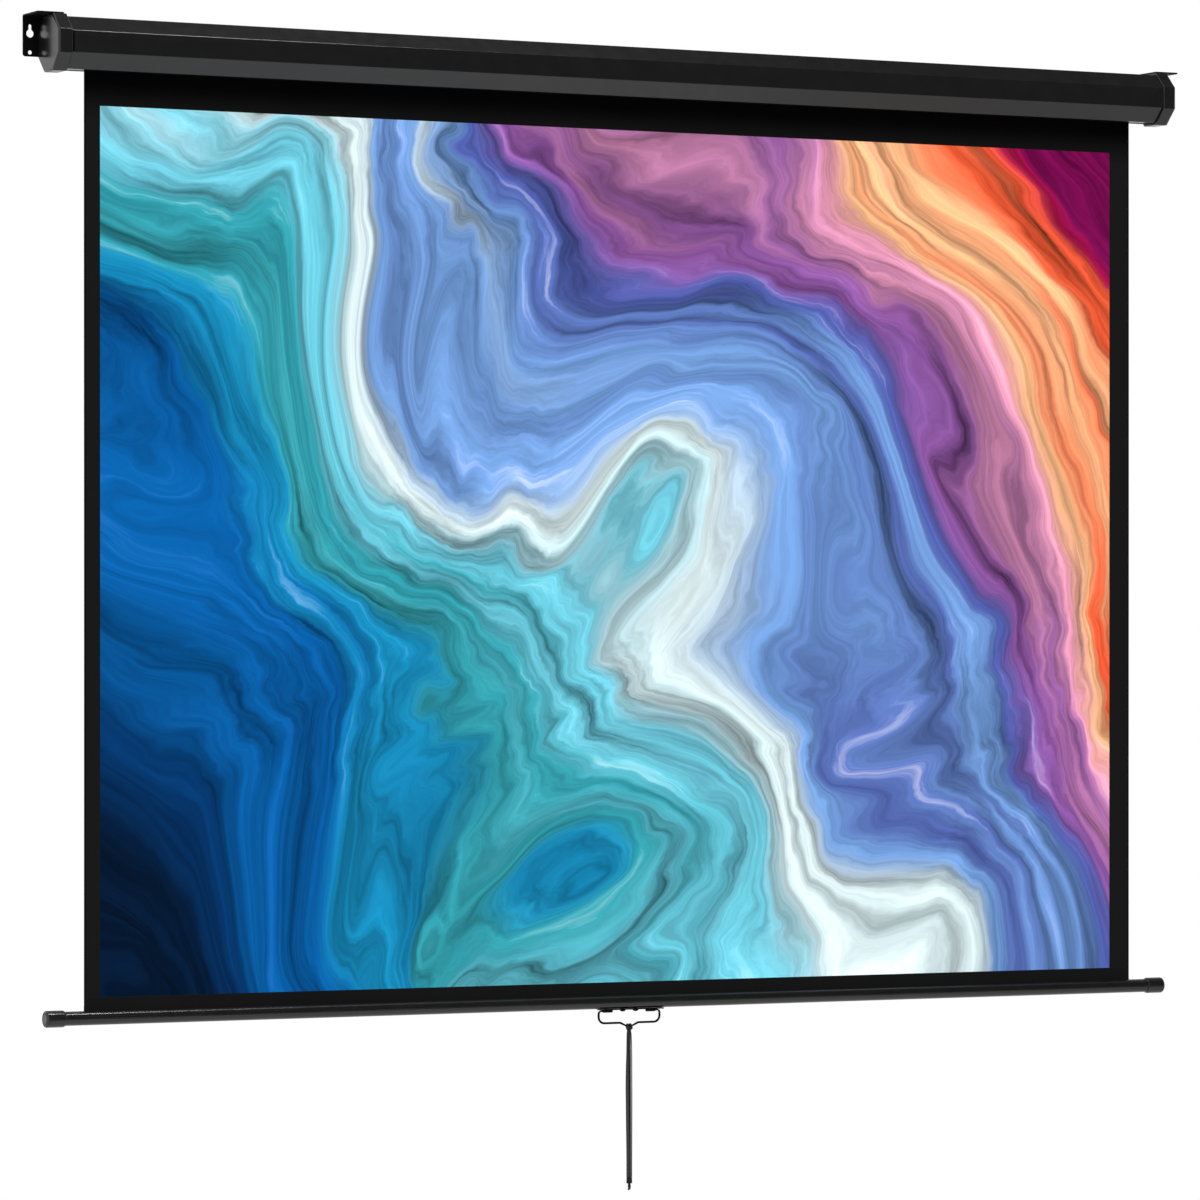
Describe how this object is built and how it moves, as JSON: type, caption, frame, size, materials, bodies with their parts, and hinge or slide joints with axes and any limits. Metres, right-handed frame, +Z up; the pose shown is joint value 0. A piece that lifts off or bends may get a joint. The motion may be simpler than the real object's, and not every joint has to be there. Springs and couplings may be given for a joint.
{
  "type": "projection screen",
  "caption": "Manual pull-down projection screen: octagonal steel case on wall brackets, spring roller that locks by gravity pawls, bordered sheet, round bottom bar, wire handle, cord.",
  "frame": {"origin": "on the wall plane, midway between the two brackets, at the height of the seats of their keyhole slots", "axes": "+X runs along the case to the right as seen from the front, -Y is the front, the wall is the plane Y = 0, +Z is up"},
  "size_m": [1.9268, 0.0843, 1.7229],
  "materials": {
    "case_paint": "semi-gloss black powder coat on steel",
    "bracket_paint": "satin black powder coat on steel plate",
    "cap_plastic": "polished black moulding",
    "bar_paint": "satin black paint on steel tube",
    "handle_paint": "black coating on steel wire and strip",
    "sheet_fabric": "matt coated fabric with a black border and back",
    "roller_steel": "galvanised steel tube",
    "bare_steel": "oiled bare steel",
    "zinc_screw": "zinc plated",
    "natural_plastic": "unpainted nylon",
    "cord_fibre": "black braided cord"
  },
  "bodies": {
    "case": {"case_shell": "case_paint", "left_end_cap": "cap_plastic", "right_end_cap": "cap_plastic", "left_bracket": "bracket_paint", "right_bracket": "bracket_paint", "left_upper_case_screw": "zinc_screw", "left_lower_case_screw": "zinc_screw", "right_upper_case_screw": "zinc_screw", "right_lower_case_screw": "zinc_screw", "spindle": "bare_steel", "ratchet_wheel": "bare_steel", "spring_collar": "bare_steel", "torsion_spring": "bare_steel", "idle_bush": "natural_plastic"},
    "roller": {"roller_tube": "roller_steel", "roller_head": "natural_plastic", "pawl_a_pin": "bare_steel", "pawl_b_pin": "bare_steel", "spring_plug": "natural_plastic", "idle_plug": "natural_plastic", "idle_pin": "bare_steel", "fabric_on_roller": "sheet_fabric"},
    "pawl_a_body": {"pawl_a": "bare_steel"},
    "pawl_b_body": {"pawl_b": "bare_steel"},
    "screen": {"screen_sheet": "sheet_fabric", "hem_rod": "bare_steel", "bottom_bar_tube": "bar_paint", "left_bar_cap": "cap_plastic", "right_bar_cap": "cap_plastic", "handle_plate": "handle_paint", "left_handle_screw": "handle_paint", "right_handle_screw": "handle_paint"},
    "handle": {"pull_handle": "handle_paint"},
    "cord": {"cord_hitch": "cord_fibre", "left_cord_strand": "cord_fibre", "right_cord_strand": "cord_fibre", "cord_binding": "cord_fibre", "cord_tail": "cord_fibre"}
  },
  "joints": [
    {"name": "screen_travel", "type": "slide", "parent": "case", "child": "screen", "axis": [0, 0, 1], "range_m": [0, 1.341], "deforming": ["screen_sheet"]},
    {"name": "roller_turn", "type": "hinge", "parent": "case", "child": "roller", "pos_m": [0, -0.05323, -0.0273], "axis": [1, 0, 0], "range_deg": [0, 4321]},
    {"name": "pawl_a_swing", "type": "hinge", "parent": "roller", "child": "pawl_a_body", "pos_m": [-0.9214, -0.04262, -0.01669], "axis": [1, 0, 0], "range_deg": [0, 14]},
    {"name": "pawl_b_swing", "type": "hinge", "parent": "roller", "child": "pawl_b_body", "pos_m": [-0.9214, -0.06383, -0.03791], "axis": [1, 0, 0], "range_deg": [0, 14]},
    {"name": "handle_swing", "type": "hinge", "parent": "screen", "child": "handle", "pos_m": [-0.0026, -0.0375, -1.43706], "axis": [1, 0, 0], "range_deg": [-80, 80]},
    {"name": "cord_swing", "type": "hinge", "parent": "handle", "child": "cord", "pos_m": [-0.0026, -0.0375, -1.46128], "axis": [1, 0, 0], "range_deg": [-60, 60]}
  ],
  "couplings": [
    {"joint": "roller_turn", "follows": "screen_travel", "rad_per_m": 56.225}
  ]
}
